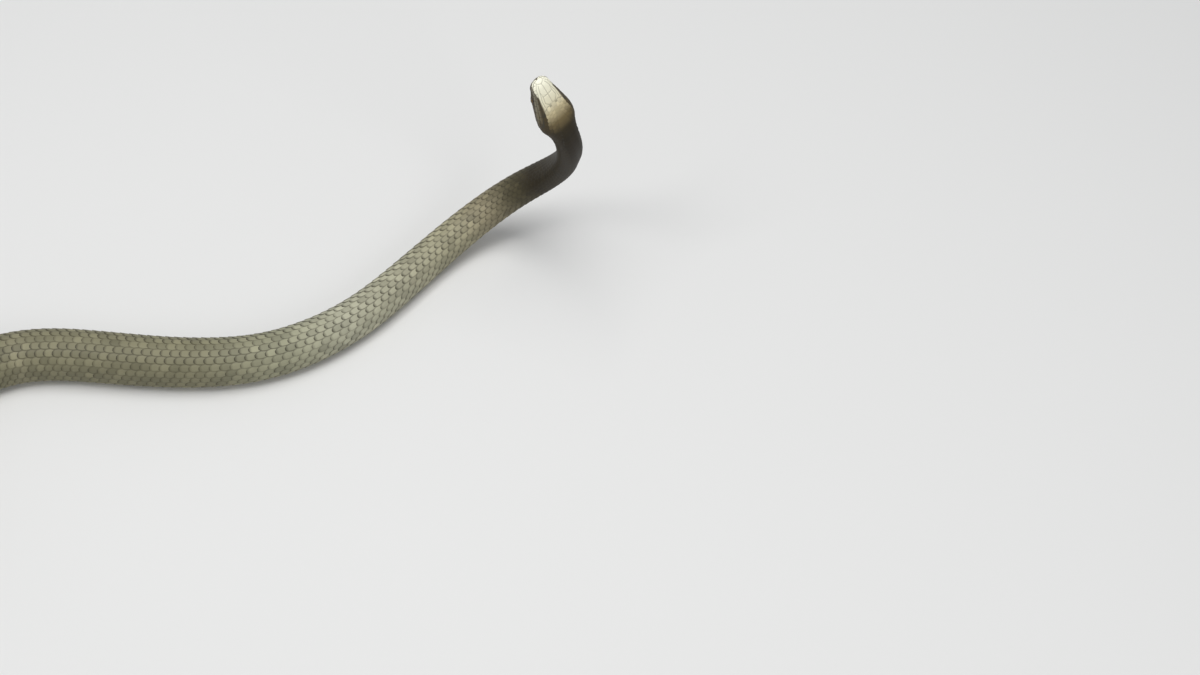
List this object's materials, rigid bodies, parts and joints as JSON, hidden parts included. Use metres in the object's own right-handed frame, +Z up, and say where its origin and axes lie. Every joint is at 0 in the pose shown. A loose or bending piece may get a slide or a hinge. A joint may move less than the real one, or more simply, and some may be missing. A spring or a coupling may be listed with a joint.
{
  "type": "king cobra, still life-size model",
  "caption": "Life-size king cobra with a slim neck, its front raised off the floor and head tipped up, the rest of the body lying in loose bends.",
  "frame": {"origin": "on the flat of the belly, on the body's centreline, where it lies on the floor 640 mm behind the snout", "axes": "+X from the tail's end of the layout towards the raised head, +Z up from the floor, +Y completes the right-handed frame"},
  "size_m": [1.7626, 0.8025, 0.3551],
  "materials": {
    "skin": "smooth dry scales, grey-olive above and yellowish cream below, satin",
    "head": "large smooth head shields, olive-brown above with a cream throat, satin",
    "eye": "dark brown eye with a round pupil under a clear scale, glossy"
  },
  "bodies": {
    "root": {"head": "head", "eye_left": "eye", "eye_right": "eye", "neck": "skin", "trunk_01": "skin", "trunk_02": "skin", "trunk_03": "skin", "trunk_04": "skin", "trunk_05": "skin", "trunk_06": "skin", "trunk_07": "skin", "trunk_08": "skin", "trunk_09": "skin", "trunk_10": "skin", "trunk_11": "skin", "trunk_12": "skin", "trunk_13": "skin", "trunk_14": "skin", "trunk_15": "skin", "tail_1": "skin", "tail_2": "skin", "tail_3": "skin", "tail_4": "skin"}
  },
  "joints": []
}
